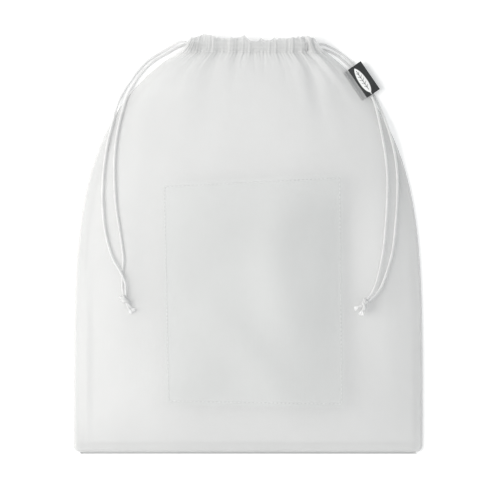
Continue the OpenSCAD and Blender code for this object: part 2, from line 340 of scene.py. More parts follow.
def cord_yarn(name, value, through, glow=0.0):
    """Soft spun yarn of a brightness value; through is the share of light it passes on.

    glow is painted light: an emission that brightens the yarn and its shaded side, standing in for
    the light that loose fibres scatter.
    """
    g = Graph(name)
    place = g.node("TexCoord").outputs["Object"]
    fibres = g.noise(place, 2600.0, 4.0)
    blotch = g.noise(place, 160.0, 2.0)
    tone = g.remap(g.blended(fibres, 0.6, blotch, 0.4), 0.35, 0.65)
    colour = g.mix_colour(tone, grey(value * 0.94), grey(min(value * 1.04, 1.0)))
    normal = g.bump(fibres, 0.45, 0.00012)
    front = g.node("BsdfPrincipled", None, Base_Color=colour, Roughness=0.78, Sheen_Weight=0.35,
                   Sheen_Roughness=0.5, Normal=normal)
    front.inputs["Specular IOR Level"].default_value = 0.2
    front.inputs["Emission Color"].default_value = (1, 1, 1, 1)
    front.inputs["Emission Strength"].default_value = glow
    back = g.node("BsdfTranslucent", None, Color=colour)
    return g.finish(g.mix_shaders(through, front, back).outputs[0])


def satin_tape(name, colour_lo, colour_hi, rough):
    """Woven label tape: fine ribs across it under a soft sheen."""
    g = Graph(name)
    _, xyz = g.cloth_place()
    weave = g.crossing(g.thread_wave(xyz[1], 0.42), g.thread_wave(xyz[0], 0.3))
    cloudy = g.noise(g.node("TexCoord").outputs["Object"], 240.0, 3.0)
    tone = g.remap(g.blended(weave, 0.5, cloudy, 0.5), 0.3, 0.7)
    normal = g.bump(weave, 0.5, 0.00008)
    shader = g.node("BsdfPrincipled", None, Base_Color=g.mix_colour(tone, colour_lo, colour_hi),
                    Roughness=rough, Sheen_Weight=0.2, Normal=normal)
    shader.inputs["Specular IOR Level"].default_value = 0.4
    return g.finish(shader.outputs[0])


MESH = woven_cloth("mesh_cloth", 0.805, 0.68, 0.28, 0.52, 0.22)
HEM = woven_cloth("hem_cloth", 0.78, 0.68, 0.28, 0.55, 0.22)
# painted light: the panels' mesh made brighter for the seam allowances, lighting up the shade
# between the layers and brightening the bag's side edges
LIT_SEAM_CLOTH = woven_cloth("seam_cloth", 0.98, 0.5, 0.76, 0.88, 0.3)
# painted shade: the same mesh made darker for the channels' gathered open ends, drawing the shade
# inside them
SHADED_CUFF = woven_cloth("cuff_cloth_painted_shade", 0.60, 0.6, 0.0, 0.15, 0.2)
# painted shadow: dark grey cloth for the turned edge below the bottom seam, drawing the contact
# shadow under the bag's bottom edge
PAINTED_SHADOW_EDGE = woven_cloth("turned_edge_painted_shadow", 0.50, 0.5, 0.0, 0.10, 0.1)
PATCH = woven_cloth("patch_cloth", 0.86, 0.36, 0.0, 0.05, 0.25, tint=(0.985, 1.0, 0.995))
# the cords and the overlock thread glow faintly: painted light on their shaded sides
CORD = cord_yarn("cord_yarn", 0.85, 0.4, glow=0.03)
# painted light: the cord's yarn made brighter and glowing for the frayed ends, lighting up the
# shade between their fibres
LIT_FRAY = cord_yarn("frayed_yarn_painted_light", 0.96, 0.5, glow=0.15)
THREAD = cord_yarn("sewing_thread", 0.74, 0.15)
SOFT_THREAD = cord_yarn("overlock_thread", 0.90, 0.5, glow=0.05)
BLACK = satin_tape("label_tape_black", (0.012, 0.013, 0.014, 1), (0.035, 0.037, 0.038, 1), 0.42)
WHITE = satin_tape("label_tape_white", (0.80, 0.80, 0.80, 1), (0.92, 0.92, 0.92, 1), 0.55)

# ---- cords
LEFT_EXIT_X = EXITS["left"][0][0]
RIGHT_EXIT_X = EXITS["right"][1][0]
LEFT_Y, RIGHT_Y = ((lo[1] + hi[1]) / 2 for lo, hi in LOOPS.values())
# The tails' routes from the channels to the knots, the same points as in the CAD source
ROUTES = {
    "left_cord_outer_strand": [
        [LEFT_EXIT_X, LEFT_Y, FRONT_CORD_Z], [-58, 172.8, 9], [-65, 169.8, 4], [-72.5, 165.4, 1.4],
        [-80.5, 160.8, 1.4], [-88.5, 154.8, 1.4], [-95.5, 147, 1.4], [-101.6, 138.6, 1.4],
        [-107.6, 129, 1.4], [-112.4, 117.5, 3.2], [-116, 104, 5.4], [-120, 87, 6.8],
        [-123, 68, 7.8], [-124.4, 48, 8.6], [-124.2, 30, 9.4], [-122, 10, 10.4],
        [-116.5, -10.5, 12], [-108.6, -24.6, 15], [-104.9, -33, 14.8], [-104.3, -40, 14.8],
        [-104.2, -46, 14.8]],
    "left_cord_inner_strand": [
        [LEFT_EXIT_X, LEFT_Y, BACK_CORD_Z], [-57.5, 169.8, 1.6], [-64.5, 166.4, 1.4],
        [-71.5, 162.3, 1.4], [-79.5, 157.6, 1.4], [-86.8, 151.6, 1.4], [-93, 144.4, 1.4],
        [-98.6, 136, 1.4], [-103.2, 127.5, 3.8], [-106.4, 118, 5.8], [-110, 104, 7.4],
        [-113, 87, 8.8], [-114.4, 68, 9.8], [-114, 48, 10.8], [-112.6, 30, 11.4], [-109.6, 11, 12],
        [-106.6, -11, 12.6], [-106.9, -22, 12.6], [-107.3, -33, 12.8], [-106.9, -40, 13.3],
        [-106, -45.6, 14.4]],
    "right_cord_outer_strand": [
        [RIGHT_EXIT_X, RIGHT_Y, FRONT_CORD_Z], [63, 170.6, 9], [70, 168.6, 4], [77, 165, 1.4],
        [84.5, 159.4, 1.4], [91.5, 152.4, 1.4], [97.8, 144.4, 1.4], [103.4, 135.6, 1.4],
        [108.6, 126.5, 1.4], [113.4, 116, 3], [118, 104.5, 4.8], [122.4, 91, 5.6], [126, 75, 6.2],
        [127.8, 57, 7.2], [127.6, 38, 8.2], [126.2, 16, 9.2], [123.2, -8, 10.2],
        [116.8, -29.5, 11.4], [110.6, -42, 12.8], [102.4, -50, 14.8]],
    "right_cord_inner_strand": [
        [RIGHT_EXIT_X, RIGHT_Y, BACK_CORD_Z], [62.5, 167, 1.6], [69.5, 165, 1.4],
        [75.8, 161.8, 1.4], [82.3, 156.6, 1.4], [89, 150, 1.4], [95, 142.2, 1.4],
        [100.8, 134, 1.4], [106, 126.6, 3.4], [109.4, 117.5, 5.4], [112.4, 104.5, 6.8],
        [115.2, 90, 8], [117.8, 74, 8.8], [119.2, 57, 9.4], [119, 38, 10.2], [117.8, 17, 11],
        [115.4, -7, 11.6], [110.8, -29.5, 12.4], [106, -41.6, 13.4], [100.6, -49.2, 14.8]],
}
# Middle of each knot, its heading, the headings of its two cut ends and their length
KNOTS = {
    "left": (np.array([-105.0, -48.0, 14.9]), -65.0, (-50.0, -64.0), 7.4),
    "right": (np.array([99.5, -52.0, 15.4]), -125.0, (-158.0, -110.0), 4.4),
}
KNOT_R = 3.4
FIBRES = 60  # loose fibres at each cut end
RING_STEP = 0.42  # between two rings of a tail's mesh
BRAID_DEPTH = 0.07


def heading(degrees):
    return np.array([math.cos(math.radians(degrees)), math.sin(math.radians(degrees)), 0.0])


def build_knot(side):
    """Overhand knot tied in both tails at once: two cords side by side round one path."""
    at, turn = KNOTS[side][:2]
    t = np.linspace(-2.02, 2.02, 150)
    straight = 1 - smooth((np.abs(t) - 1.66) / 0.3)
    shape = stack(t ** 5 - 10 * t, (t ** 3 - 3 * t) * 6.2 * straight,
                  (t ** 4 - 4 * t ** 2 + 2.0) * 2.6 * (0.3 + 0.7 * straight))
    shape *= np.array([0.30, 0.2, 0.32])
    along = heading(turn)
    across = np.cross(UP, along)
    base = at + shape[:, :1] * along + shape[:, 1:2] * across + shape[:, 2:] * UP
    path = resample(base[::6], 0.35)
    tangent = unit(np.gradient(path, axis=0))
    beside = along + np.array([0.0, 0, 0.35])
    beside = unit(beside - tangent * (tangent @ beside)[:, None] + 0.25 * across)
    parts = [tube(path + 0.98 * s * beside, 1.16, 16, 0.05, 4, 2.6) for s in (-1, 1)]
    points, faces = join_parts(parts)
    obj = make_mesh(f"{side}_cord_overhand_knot", points, faces, CORD)
    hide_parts(f"{side}_cord_knot")
    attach(obj, f"{side}_cord")
    return obj


def build_ends(side, rng):
    """The two cut ends below a knot, each fraying into loose fibres."""
    at, _, turns, long = KNOTS[side]
    parts, loose = [], []
    for turn in turns:
        along = heading(turn)
        across = np.cross(UP, along)
        start = at + along * (KNOT_R - 1.4)
        stub = np.array([start + along * s + across * 0.25 * math.sin(s * 0.9)
                         + np.array([0, 0, -0.07 * s]) for s in np.linspace(0, long, 19)])
        taper = 1.08 - 0.12 * smooth(np.linspace(-0.5, 1, len(stub)))
        parts.append(tube(stub, taper, 16, 0.06, 4, 2.8))
        tip = stub[-1]
        for _ in range(FIBRES):
            spread = rng.normal(0, 0.34, 2)
            reach = rng.uniform(1.8, 3.6)
            curl = rng.normal(0, 0.35, 2)
            s = np.linspace(-0.15, 1, 6)[:, None]
            fibre = (tip + along * reach * s
                     + across * (spread[0] * (1 + 1.3 * s) + curl[0] * s ** 2)
                     + UP * (spread[1] * (1 + 1.1 * s) + 0.6 * curl[1] * s ** 2 - 0.35 * s))
            loose.append(tube(fibre, np.linspace(0.17, 0.10, 6), 5))
    points, faces = join_parts(parts + loose)
    obj = make_mesh(f"{side}_cord_frayed_ends", points, faces, CORD)
    obj.data.materials.append(LIT_FRAY)
    solid = sum(len(part[1]) for part in parts)
    obj.data.polygons.foreach_set("material_index", [int(k >= solid) for k in range(len(faces))])
    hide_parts(f"{side}_cord_ends")
    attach(obj, f"{side}_cord")
    return obj


def build_loop(side):
    """The cord inside the channels: out along one, a half turn, and back along the other."""
    lo, hi = LOOPS[side]
    s = -SIGN[side]
    start, end = (lo[0], hi[0]) if side == "left" else (hi[0], lo[0])
    bend = (FRONT_CORD_Z - BACK_CORD_Z) / 2
    far = end - s * (bend + CORD_D / 2)
    y = (lo[1] + hi[1]) / 2
    mid = (FRONT_CORD_Z + BACK_CORD_Z) / 2
    straight = np.linspace(start, far, 40)
    turn = np.linspace(math.pi / 2, -math.pi / 2, 24)[1:-1]
    path = np.vstack([[[x, y, FRONT_CORD_Z] for x in straight],
                      [[far + s * bend * math.cos(a), y, mid + bend * math.sin(a)] for a in turn],
                      [[x, y, BACK_CORD_Z] for x in straight[::-1]]])
    path = resample(path, 0.6)
    points, faces = tube(path, CORD_D / 2 - 0.03, 16, 0.05)
    obj = make_mesh(f"{side}_cord_in_channels", points, faces, CORD)
    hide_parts(f"{side}_cord_channel_loop")
    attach(obj, f"{side}_cord")


def build_cords():
    rng = np.random.default_rng(11)
    for side in SIGN:
        knot = build_knot(side)
        ends = build_ends(side, rng)
        for run in ("outer", "inner"):
            node = f"{side}_cord_{run}_strand"
            path = resample(ROUTES[node], RING_STEP)
            points, faces = tube(path, CORD_D / 2, 20, BRAID_DEPTH)
            obj = make_mesh(f"{side}_cord_{run}_tail", points, faces, CORD)
            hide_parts(node)
            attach(obj, f"{side}_cord")
            length = float(np.linalg.norm(np.diff(path, axis=0), axis=1).sum()) * MM
        build_loop(side)


build_cords()

# ---- the cloth's shape
# Height of the gathered top edge over the bottom seam, at places across the mouth
TOP_EDGE = np.array([
    (-58, 351.0), (-54, 354.8), (-49.7, 355.3), (-45.4, 356.0), (-41.1, 356.9), (-37, 357.9),
    (-34.3, 357.9), (-30.9, 356.6), (-27.4, 355.3), (-19.7, 354.2), (-15.4, 354.9), (-6.9, 355.3),
    (-3.4, 357.0), (-0.9, 354.9), (1.7, 352.9), (6.9, 352.6), (9.4, 352.9), (11.1, 354.9),
    (13.7, 352.4), (18.9, 352.8), (23.1, 354.9), (24.9, 352.5), (26.6, 354.5), (36, 354.9),
    (44.6, 355.7), (48.8, 356.2), (53.1, 355.7), (57.4, 353.4), (62, 350.5)])
# Half width of the gathered cloth above the panels
NECK = np.array([(342, 65.3), (345, 60.5), (348, 57.2), (351, 55.3), (353.5, 54.2),
                 (355.5, 52.6), (357, 50.8), (358, 49.5)])
MOUTH_X = 3.6  # middle of the mouth
RUFFLE_U = 340.0  # above this the cloth is stretched to the uneven top edge
HEM_LOW = 341.6  # lower edge of the turned-in hem
STITCH_U = 343.0  # row of stitches below the cords
CALM_U = 342.2  # where that row holds the gathers down
# Heights over the bottom seam between which one thing gives way to another
SQUARER = (300, 344)  # the front's arch across becomes squarer
SEAM_ENDS = (320, 336)  # the pinch of the side seams ends
SOFT_ENDS = (326, 342)  # and so do the soft folds
CROWN_TURNS = (333, 343)  # the front's crown goes over into its channel
EDGE_TURNS = (336, 345)  # and so do its edges
BACK_ENDS = (330, 342)  # the back's turned-up edges end
BACK_GATHERS = (300, 340)  # and its gathers start
FOLLOWS = (236, 294)  # the cloth starts to go with the ends of the mouth
FOLLOW_X = 47  # which it does fully this far from the mouth's middle

# Small tufts along the top edge
TUFT_X = np.arange(-70, 72, 1.3)
TUFTS = np.random.default_rng(17).uniform(-0.9, 0.8, len(TUFT_X))


# In what follows c is the share of the half width, from -1 at the left edge to 1 at the right one,
# and u the height over the bottom seam.
def shoulder(u):
    return (1 - clamp(u / CLOSE_U) ** 4.62) ** 0.83


def corner_in(u):
    """How far the rounded corner takes the outline in."""
    v = np.minimum(u, CORNER_R)
    return CORNER_R - np.sqrt(np.maximum(CORNER_R ** 2 - (CORNER_R - v) ** 2, 0))


def half_w(u):
    """Half width of the bag."""
    u = np.asarray(u, float)
    low = NECK_HALF + (HALF - NECK_HALF) * shoulder(u) - corner_in(u)
    return np.where(u <= TOP_U, low, np.interp(u, NECK[:, 0], NECK[:, 1]))


def mid_x(u):
    """Middle of the bag, which leans to the mouth's middle near the top."""
    return MOUTH_X * clamp(np.asarray(u, float) / CLOSE_U) ** 12


def rise(u):
    """Share of the fullness reached above the bottom seam."""
    return 1 - (1 - clamp(u / 60)) ** 2.2


def across_x(c, u):
    """Place across the bag; the gathered ends close up more than the middle."""
    wide = half_w(TOP_U)
    narrow = np.minimum(half_w(np.maximum(u, TOP_U)), wide * 0.9995)
    power = 6
    limit = wide / ((wide / narrow) ** power - 1) ** (1 / power)
    flat = np.abs(c) * wide
    squeezed = np.sign(c) * flat / (1 + (flat / limit) ** power) ** (1 / power)
    return mid_x(u) + np.where(u <= TOP_U, c * half_w(u), squeezed)


class Pleats:
    """Seeded gathers: ridges and grooves that start at the mouth and fade down the cloth."""

    def __init__(self, seed, count, width, height, reach, span=1.0):
        rng = np.random.default_rng(seed)
        self.c = (np.arange(count) + rng.uniform(0.15, 0.85, count)) / count * 2 * span - span
        self.width = rng.uniform(*width, count)
        self.height = rng.uniform(*height, count) * np.where(np.arange(count) % 2, -1, 1)
        self.reach = np.exp(rng.uniform(math.log(reach[0]), math.log(reach[1]), count))
        self.lean = rng.normal(0, 0.0011, count) - 0.0007 * self.c

    def __call__(self, c, u):
        below = np.maximum(TOP_U - u, 0.0)
        half = half_w(u)
        z = np.zeros(np.broadcast(c, u).shape)
        for k in range(len(self.c)):
            centre = self.c[k] + self.lean[k] * below
            wide = self.width[k] * (1 + below / 26)
            d = (c - centre) * half / wide
            fade = np.exp(-(below / self.reach[k]) ** 1.25)
            fade = fade * (1 + 0.25 * smooth((u - TOP_U - 8) / 8))
            z += self.height[k] * np.exp(-d * d) * fade
        return z


# Seed, count, widths, heights, reaches down the cloth, share of the width
FINE = Pleats(3, 92, (0.7, 1.4), (0.2, 0.8), (4, 13))
MEDIUM = Pleats(5, 34, (1.6, 3.2), (0.2, 0.85), (9, 30), 0.97)
BROAD = Pleats(8, 13, (3.8, 7.0), (0.3, 0.9), (30, 90), 0.92)

# Deep pleats beside the label's end of the mouth: place across, half width, height, reach
DEEP = [(0.60, 2.6, -1.0, 30), (0.74, 2.2, -1.7, 26), (0.82, 1.8, 0.9, 18), (0.88, 1.8, -1.7, 20)]


def deep_pleats(c, u):
    below = np.maximum(TOP_U - u, 0.0)
    z = np.zeros(np.broadcast(c, u).shape)
    for place, wide, height, reach in DEEP:
        d = (c - place - 0.0006 * below) * half_w(u) / (wide * (1 + below / 26))
        z += height * np.exp(-d * d) * np.exp(-(below / reach) ** 1.25)
    return z


# Soft folds and dents of the resting bag: middle x, y, size along, size across, turn, height
FOLDS = [
    (26, 8, 44, 19, 74, 1.9), (30, -48, 42, 20, 100, 2.3), (6, -98, 46, 17, 132, 2.2),
    (87, -40, 70, 24, 88, -3.5), (82, 14, 38, 22, 84, -1.9), (20, 44, 60, 16, 40, 0.5),
    (-92, 80, 95, 11, 84, 0.6), (-104, -20, 120, 13, 88, 0.5), (-60, -120, 70, 24, 30, 0.7),
    (118, -30, 105, 9, 94, 0.6), (-140, -95, 80, 4.6, 90, 3.4), (55, 141, 30, 6.5, 104, -1.5),
    (46, 144, 26, 6, 102, 0.8), (68, 128, 40, 8, 106, 0.8), (-30, 118, 60, 13, 74, -0.5),
    (72, 138, 48, 24, 98, -2.4), (40, -62, 56, 44, 90, 2.0),
    (-10, -150, 120, 13, 4, 0.5), (90, -150, 60, 14, 168, -0.5), (-20, -30, 90, 40, 80, 0.9),
]


def folds(x, y):
    z = np.zeros(np.broadcast(x, y).shape)
    for fx, fy, long, wide, turn, height in FOLDS:
        a = math.radians(turn)
        s = (x - fx) * math.cos(a) + (y - fy) * math.sin(a)
        t = -(x - fx) * math.sin(a) + (y - fy) * math.cos(a)
        z += height * np.exp(-(s / long) ** 2 - (t / wide) ** 2)
    return z


def edge_mask(c, u):
    """Nought at the seams and one inside, so folds die out where the cloth is sewn."""
    return smooth((1 - np.abs(c)) / 0.16) * smooth(u / 26)


def front_z(c, u):
    """Height of the front cloth: an arch between its edges, with folds and gathers on it."""
    power = 4 + 10 * ramp(u, SQUARER)
    edge = FLANGE - 2.0 * smooth((np.abs(c) - 0.986) / 0.014) * (1 - ramp(u, SEAM_ENDS))
    over_cords = np.exp(-((u - CORD_U) / 4.6) ** 4)
    neck_edge = CASING_Z - 1.4 + 3.0 * over_cords
    edge = edge + (neck_edge - edge) * ramp(u, EDGE_TURNS)
    crown = FLANGE + LOFT * rise(u)
    channel = CASING_Z + 0.9 + 1.1 * over_cords
    crown = crown + (channel - crown) * ramp(u, CROWN_TURNS)
    z = edge + (crown - edge) * (1 - np.abs(c) ** power)
    # the turned edge below the bottom seam drops, and stays over the back cloth
    z = np.maximum(z - 2.0 * (1 - smooth(u / 1.7)), 0.8)
    y = u + Y0
    x = across_x(c, u)
    calm = 1 - 0.15 * np.exp(-((u - CALM_U) / 1.3) ** 2)
    gathers = 0.7 * (FINE(c, u) + MEDIUM(c, u)) + 0.85 * BROAD(c, u) + deep_pleats(c, u)
    gathers = np.where(gathers < 0, gathers * (1 - 0.75 * over_cords), gathers)
    keep_in = smooth((1 - np.abs(c)) / 0.03)
    z = z + folds(x, y) * edge_mask(c, u) * (1 - ramp(u, SOFT_ENDS))
    return z + gathers * calm * keep_in * 0.92


def back_z(c, u):
    """Height of the back cloth, which lies on the surface."""
    edge = 1.3 * smooth((np.abs(c) - 0.975) / 0.025) * (1 - ramp(u, BACK_ENDS))
    gathers = MEDIUM(-c, u) * 0.5 + FINE(-c, u) * 0.5
    lift = np.maximum(gathers, 0) * ramp(u, BACK_GATHERS)
    wrinkle = 0.12 * (1 + np.sin(c * 41 + u * 0.05) * np.sin(u * 0.11 + c * 9))
    return 0.3 + edge + lift + wrinkle * edge_mask(c, u)


def rows_u():
    """Rows of the cloth's mesh, closer together at the bottom seam and at the mouth."""
    low = [-LIP, -LIP / 2, 0, 0.5, 1.2, 2.2, 3.5, 5, 7, 9.5, 12.5, 16, 20]
    neck, top = np.linspace(300, 336, 26), np.linspace(337, LENGTH, 26)
    return np.r_[low, np.arange(25, 300, 4.6), neck, top]


def columns(count):
    """Columns of the cloth's mesh, closer together at the edges."""
    t = np.linspace(-1, 1, count)
    return 0.72 * t + 0.28 * np.sin(t * math.pi / 2)


def stretched_u(c, u):
    """Rows above the panels are stretched to end at the uneven top edge."""
    x = across_x(c, np.minimum(u, 356.0))
    top = np.interp(x, TOP_EDGE[:, 0], TOP_EDGE[:, 1]) + np.interp(x, TUFT_X, TUFTS)
    share = clamp((u - RUFFLE_U) / (LENGTH - RUFFLE_U))
    return np.where(u > RUFFLE_U, RUFFLE_U + share * (top - RUFFLE_U), u)


def cloth_weight(points):
    """How far each point goes with the mouth's end: one at the end of the channel."""
    x, u = points[:, 0], points[:, 1] - Y0
    return smooth(np.abs(x - MOUTH_X) / FOLLOW_X) * ramp(u, FOLLOWS)


def set_blend(obj, side, points):
    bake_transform(obj)
    weights = cloth_weight(points).astype(np.float32)


def halves(name, grid, uv, material, node, flip=False,
           shadow_rows=0):
    """Two pieces that meet at the middle column, each going with its own end of the mouth.

    The first rows of faces, as many as the last argument gives, are the turned edge below the
    bottom seam: they take a dark grey material, painted shadow for the contact shadow under the
    bag's bottom edge.
    """
    normals = grid_normals(grid, flip)
    middle = grid.shape[1] // 2
    for side, cut in (("left", slice(0, middle + 1)), ("right", slice(middle, None))):
        part = grid[:, cut]
        points = part.reshape(-1, 3)
        faces = grid_faces(part.shape[0], part.shape[1], flip=flip)
        obj = make_mesh(f"{name}_{side}", points, faces, material)
        # both halves take the whole cloth's normals, so that their joint doesn't show
        obj.data.normals_split_custom_set_from_vertices(normals[:, cut].reshape(-1, 3).tolist())
        store_uv(obj, uv[:, cut].reshape(-1, 2))
        # the turned edge takes the dark painted-shadow material
        if shadow_rows:
            obj.data.materials.append(PAINTED_SHADOW_EDGE)
            turned = shadow_rows * (part.shape[1] - 1)
            index = [int(k < turned) for k in range(len(faces))]
            obj.data.polygons.foreach_set("material_index", index)
        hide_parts(node)
        set_blend(obj, side, points)


COLS = columns(241)


def build_panels():
    cc, uu = np.meshgrid(COLS, rows_u())
    ue = stretched_u(cc, uu)
    x = across_x(cc, ue)
    uv = stack(cc * HALF, uu)
    back = stack(x, ue + Y0, back_z(cc, ue))
    halves("back_cloth", back, uv, MESH, "back_panel", flip=True,
           shadow_rows=2)
    front = stack(x, ue + Y0, front_z(cc, ue))
    halves("front_cloth", front, uv, MESH, "front_panel",
           shadow_rows=2)


def build_casings():
    """The turned-in hem of each panel: over the top edge, down inside, and sewn below the cords."""
    cc, vv = np.meshgrid(COLS, np.linspace(0, 1, 22))
    top = stretched_u(cc, np.full_like(cc, LENGTH))
    u_in = top - (top - HEM_LOW) * vv
    xo = MOUTH_X + (across_x(cc, np.maximum(u_in, TOP_U + 1)) - MOUTH_X) * 0.985
    drop = 0.35 + 3.6 * np.exp(-((u_in - CORD_U) / 3.4) ** 4)
    uv = stack(cc * HALF, LENGTH + (LENGTH - u_in))
    for name, cloth_z, inward in (("front", front_z, -1), ("back", back_z, 1)):
        start = cloth_z(cc, top)
        z = cloth_z(cc, u_in) + inward * drop
        z = start + (z - start) * smooth(vv / 0.12)
        halves(f"{name}_hem", stack(xo, u_in + Y0, z), uv, HEM, f"{name}_casing",
               flip=inward > 0)


def build_cuff(side):
    """The gathered end of the channels that the tails come out of, hemmed and open."""
    lo, hi = EXITS[side]
    outer, inner = (lo[0], hi[0]) if side == "left" else (hi[0], lo[0])
    rng = np.random.default_rng(21 if side == "left" else 22)
    rows, sides = 34, 56
    theta = np.linspace(0, 2 * math.pi, sides, endpoint=False)
    middle = np.array([(lo[1] + hi[1]) / 2, (lo[2] + hi[2]) / 2])
    half_y, half_z = (hi[1] - lo[1]) / 2 - 0.2, (hi[2] - lo[2]) / 2 - 0.1
    # seeded ripple along the cuff
    pleat = np.convolve(rng.normal(0, 1, rows + 4), [0.25, 0.5, 0.25], "same")[2:-2]
    skin = []  # rings out along the outside and back along the inside
    for layer, path in ((0, np.linspace(0, 1, rows)), (1, np.linspace(1, 0.25, 16))):
        for t in path:
            x = inner + (outer - inner) * t
            k = np.interp(t, np.linspace(0, 1, rows), pleat)
            waist = 1 - 0.26 * np.cos(theta) ** 2 * smooth(t)
            close = 1 - 0.12 * smooth((t - 0.3) / 0.7)
            ripple = 1 + 0.035 * k + 0.02 * np.sin(theta * 5 + 2.2 * k)
            inset = 0.55 * layer * smooth((1 - t) / 0.08 + 0.15)
            cy = np.sign(np.cos(theta)) * np.abs(np.cos(theta)) ** 0.8
            sz = np.sign(np.sin(theta)) * np.abs(np.sin(theta)) ** 0.8
            y = middle[0] + (half_y * close * ripple * waist - inset) * cy
            z = middle[1] + (half_z * close * ripple - inset) * sz
            z = np.maximum(z, 0.15)
            skin.append(stack(x, y, z))
    grid = np.array(skin)
    faces = grid_faces(len(grid), sides, True, flip=side == "right")
    # the cuff's cloth is painted darker, as shade inside the opening
    obj = make_mesh(f"{side}_exit_cuff", grid.reshape(-1, 3), faces, SHADED_CUFF)
    uv = stack(np.arange(len(grid))[:, None] * 0.5, np.arange(sides)[None, :] * 0.68)
    store_uv(obj, uv.reshape(-1, 2))
    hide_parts(f"{side}_cord_exit")
    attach(obj, f"{side}_mouth_end")


# ---- seams
SEAM_W = 8.0  # width of the turned-in allowances
SEAM_Z = 1.35
OVERLOCK_IN = SEAM_W + 0.1  # middle of the overlock thread, inward from the outline
# Inset from the outline and height, from the lower layer's edge round to the upper one's
SIDE_SECTION = np.array([
    (SEAM_W, -0.30), (6.0, -0.34), (4.0, -0.36), (2.0, -0.4), (0.7, -0.42), (0.15, -0.25),
    (0.0, 0.0), (0.15, 0.25), (0.7, 0.36), (2.0, 0.34), (4.0, 0.32), (6.0, 0.3), (SEAM_W, 0.28)])
BOTTOM_SECTION = np.array([
    (SEAM_W, -0.3), (5.0, -0.34), (2.0, -0.38), (0.7, -0.4), (0.15, -0.25), (0.0, 0.0),
    (0.15, 0.25), (0.7, 0.36), (2.0, 0.34), (5.0, 0.3), (SEAM_W, 0.28)])


def wandering(seed, count):
    """Smoothed seeded numbers, for edges that aren't cut quite straight."""
    rng = np.random.default_rng(seed)
    return np.convolve(rng.normal(0, 1, count + 8), np.ones(5) / 5, "same")[4:-4]


def build_side_seam(side):
    """Two turned-in allowances of a side seam, joined at the outline."""
    u = np.linspace(3, TOP_U - 1, 150)
    inset, z = SIDE_SECTION[:, 0], SIDE_SECTION[:, 1]
    wave = wandering(31 if side == "left" else 32, len(u))
    edge = half_w(u)[:, None]
    ripple = 0.18 * wave[:, None] * (inset[None, :] > 5)
    x = mid_x(u)[:, None] + SIGN[side] * (edge - 0.3 - inset[None, :] - ripple)
    height = SEAM_Z + z[None, :] + 0.05 * wave[:, None]
    points = stack(x, (u + Y0)[:, None], height).reshape(-1, 3)
    faces = grid_faces(len(u), len(inset), flip=side == "right")
    obj = make_mesh(f"{side}_seam_allowance", points, faces, LIT_SEAM_CLOTH)
    store_uv(obj, stack(inset[None, :], u[:, None]).reshape(-1, 2))
    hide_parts(f"{side}_side_seam")
    set_blend(obj, side, points)


def overlock(place, inward):
    """A looper thread that zigzags over a raw edge, and a straight needle thread beside it."""
    odd = np.arange(len(place)) % 2 == 1
    loops = (place + np.outer(np.where(odd, 0.62, -0.62), inward)
             + np.outer(1.35 + np.where(odd, 0.12, 0.28), UP))
    needle = place - 0.7 * inward + 1.78 * UP
    return join_parts([tube(loops, 0.17, 5), tube(needle[::2], 0.15, 5)])


def build_side_overlock(side):
    s = SIGN[side]
    u = np.linspace(6, TOP_U - 3, 300)
    x = mid_x(u) + s * (half_w(u) - OVERLOCK_IN)
    place = stack(x, u + Y0, 0.0)
    points, faces = overlock(place, np.array([-s, 0.0, 0.0]))
    obj = make_mesh(f"{side}_overlock_thread", points, faces, SOFT_THREAD)
    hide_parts(f"{side}_seam_overlock")
    set_blend(obj, side, points)


def build_bottom_seam():
    x = np.linspace(-HALF + CORNER_R, HALF - CORNER_R, 120)
    inset, z = BOTTOM_SECTION[:, 0], BOTTOM_SECTION[:, 1]
    wave = wandering(33, len(x))
    y = Y0 + 0.3 + inset[None, :] + 0.18 * wave[:, None] * (inset[None, :] > 5)
    height = SEAM_Z + z[None, :] + 0.05 * wave[:, None]
    points = stack(x[:, None], y, height).reshape(-1, 3)
    obj = make_mesh("bottom_seam_allowance", points, grid_faces(len(x), len(inset)), LIT_SEAM_CLOTH)
    store_uv(obj, stack(x[:, None], inset[None, :]).reshape(-1, 2))
    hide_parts("bottom_seam")
    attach(obj, "bag")

    x = np.linspace(BOTTOM_LO[0] + 2, BOTTOM_HI[0] - 2, 250)
    points, faces = overlock(stack(x, Y0 + OVERLOCK_IN, 0.0), np.array([0.0, 1.0, 0.0]))
    obj = make_mesh("bottom_overlock_thread", points, faces, SOFT_THREAD)
    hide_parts("bottom_seam_overlock")
    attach(obj, "bag")


STITCH_LENGTH = 2.3
STITCH_R = 0.16


def stitch(centre, along):
    """One visible thread of a seam, dipping into the cloth at both ends."""
    s = np.linspace(-1, 1, 7)
    path = (centre + np.outer(s * STITCH_LENGTH / 2, along)
            + np.outer(0.16 - 0.34 * s ** 4, UP))
    return tube(path, STITCH_R * np.sqrt(np.maximum(1 - 0.55 * s ** 6, 0.1)), 6)


def stitch_mesh(name, parts, material=THREAD):
    points, faces = join_parts(parts)
    return points, make_mesh(name, points, faces, material)


def surface_z(x, u, cloth_z=front_z):
    """Height of a cloth at one place."""
    c = (x - mid_x(u)) / half_w(u)
    return float(cloth_z(np.array([[c]]), np.array([[u]]))[0, 0])


def build_casing_stitches():
    for name, cloth_z, over in (("front", front_z, 0.1), ("back", back_z, 0.8)):
        for side, s in SIGN.items():
            parts = []
            for k in range(15):
                x = MOUTH_X + s * (1.7 + k * 3.3)
                z = surface_z(x, STITCH_U, cloth_z) + over
                parts.append(stitch(np.array([x, STITCH_U + Y0, z]), np.array([1.0, 0, 0])))
            points, obj = stitch_mesh(f"{name}_hem_stitches_{side}", parts)
            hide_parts(f"{name}_casing_stitching")
            set_blend(obj, side, points)


